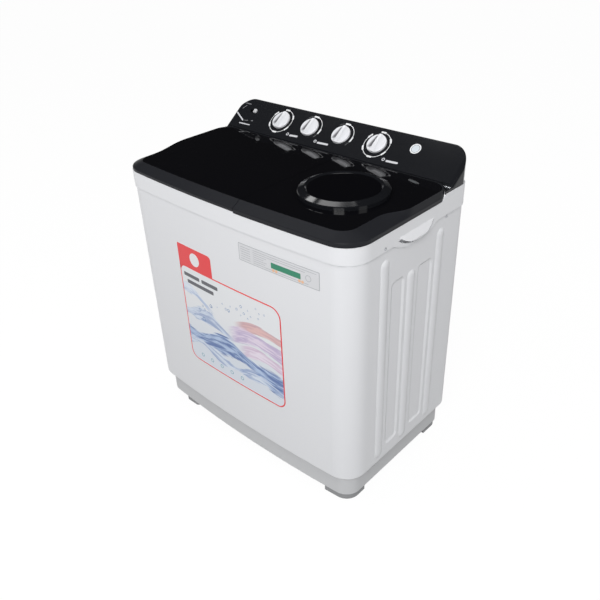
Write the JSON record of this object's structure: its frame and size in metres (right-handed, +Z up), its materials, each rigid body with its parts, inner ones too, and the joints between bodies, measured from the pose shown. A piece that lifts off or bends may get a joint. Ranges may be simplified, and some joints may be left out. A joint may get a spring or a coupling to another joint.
{
  "type": "twin tub washing machine",
  "caption": "Twin tub washing machine: wash tub with pulsator and spin basket side by side, hinged black lids and a sloped control panel with turning knobs on a white cabinet.",
  "frame": {"origin": "floor level, under the middle of the bounding box", "axes": "+Z up, +X to the right seen from the front, -Y out of the front; the control panel is at the back (+Y)"},
  "size_m": [0.878, 0.5205, 0.9338],
  "materials": {
    "cabinet_white": "satin",
    "deck_white": "satin",
    "base_grey_white": "satin",
    "foot_grey": "matte",
    "tub_white": "satin",
    "lid_charcoal": "satin",
    "gloss_black": "gloss",
    "panel_black": "gloss",
    "window_dark": "gloss",
    "knob_silver": "satin",
    "lever_white": "satin",
    "dark_plastic": "matte",
    "steel": "brushed",
    "motor_paint": "satin",
    "aluminium": "cast",
    "rubber_black": "matte",
    "lever_cream": "satin"
  },
  "bodies": {
    "body": {"base": "base_grey_white", "feet": "foot_grey", "cabinet": "cabinet_white", "top_deck": "deck_white", "twin_tub": "tub_white", "control_panel": "panel_black", "panel_back_cover": "dark_plastic", "wash_timer": "lever_cream", "wash_selector": "lever_cream", "drain_selector": "lever_cream", "spin_timer": "lever_cream", "water_inlet": "dark_plastic", "gearbox": "aluminium", "wash_motor": "motor_paint", "drive_belt": "rubber_black", "spin_motor": "motor_paint", "spin_motor_mounts": "rubber_black", "spin_seal": "rubber_black", "drain_valve": "dark_plastic", "drain_outlet": "dark_plastic", "lint_filter": "base_grey_white", "overflow_cover": "tub_white", "capacitor": "dark_plastic", "rear_cover": "cabinet_white", "rear_cover_screws": "steel", "deck_screws": "steel"},
    "wash_lid": {"wash_lid": "lid_charcoal", "wash_lid_gloss": "gloss_black", "wash_lid_pins": "steel"},
    "spin_lid": {"spin_lid": "lid_charcoal", "spin_lid_gloss": "gloss_black", "spin_lid_pins": "steel", "spin_lid_ring": "lid_charcoal", "spin_lid_window": "window_dark"},
    "wash_timer_knob": {"wash_timer_knob": "knob_silver"},
    "wash_selector_knob": {"wash_selector_knob": "knob_silver"},
    "drain_selector_knob": {"drain_selector_knob": "knob_silver"},
    "spin_timer_knob": {"spin_timer_knob": "knob_silver"},
    "water_lever": {"water_lever": "lever_white"},
    "pulsator": {"pulsator": "tub_white", "pulsator_screw": "steel", "pulsator_shaft": "steel", "wash_pulley": "aluminium"},
    "motor_rotor": {"motor_shaft": "steel", "motor_pulley": "aluminium"},
    "spin_basket": {"spin_basket": "tub_white", "balance_ring": "tub_white", "spin_shaft": "steel", "brake_drum": "aluminium"},
    "drain_plunger": {"drain_plunger": "rubber_black"}
  },
  "joints": [
    {"name": "wash_lid_hinge", "type": "hinge", "parent": "body", "child": "wash_lid", "pos_m": [-0.182, 0.1595, 0.857], "axis": [-1, 0, 0], "range_deg": [0, 92]},
    {"name": "spin_lid_hinge", "type": "hinge", "parent": "body", "child": "spin_lid", "pos_m": [0.236, 0.1595, 0.857], "axis": [-1, 0, 0], "range_deg": [0, 92]},
    {"name": "wash_timer_turn", "type": "hinge", "parent": "body", "child": "wash_timer_knob", "pos_m": [-0.22, 0.21373, 0.90086], "axis": [0, 0.606, -0.7955], "range_deg": [0, 300]},
    {"name": "wash_selector_turn", "type": "hinge", "parent": "body", "child": "wash_selector_knob", "pos_m": [-0.101, 0.21373, 0.90086], "axis": [0, 0.606, -0.7955], "range_deg": [0, 150]},
    {"name": "drain_selector_turn", "type": "hinge", "parent": "body", "child": "drain_selector_knob", "pos_m": [0.021, 0.21373, 0.90086], "axis": [0, 0.606, -0.7955], "range_deg": [0, 150]},
    {"name": "spin_timer_turn", "type": "hinge", "parent": "body", "child": "spin_timer_knob", "pos_m": [0.151, 0.21373, 0.90086], "axis": [0, 0.606, -0.7955], "range_deg": [0, 300]},
    {"name": "water_lever_slide", "type": "slide", "parent": "body", "child": "water_lever", "axis": [-1, 0, 0], "range_m": [0, 0.018]},
    {"name": "pulsator_spin", "type": "hinge", "parent": "body", "child": "pulsator", "pos_m": [-0.182, -0.057, 0.35], "axis": [0, 0, 1], "continuous": true},
    {"name": "motor_spin", "type": "hinge", "parent": "body", "child": "motor_rotor", "pos_m": [-0.33, 0.1, 0.2], "axis": [0, 0, 1], "continuous": true},
    {"name": "basket_spin", "type": "hinge", "parent": "body", "child": "spin_basket", "pos_m": [0.236, -0.036, 0.5], "axis": [0, 0, 1], "continuous": true},
    {"name": "plunger_lift", "type": "slide", "parent": "body", "child": "drain_plunger", "axis": [0, 0, 1], "range_m": [0, 0.012]}
  ],
  "couplings": [
    {"joint": "motor_spin", "follows": "pulsator_spin", "ratio": 3.6},
    {"joint": "plunger_lift", "follows": "drain_selector_turn", "m_per_rad": 0.00458}
  ]
}
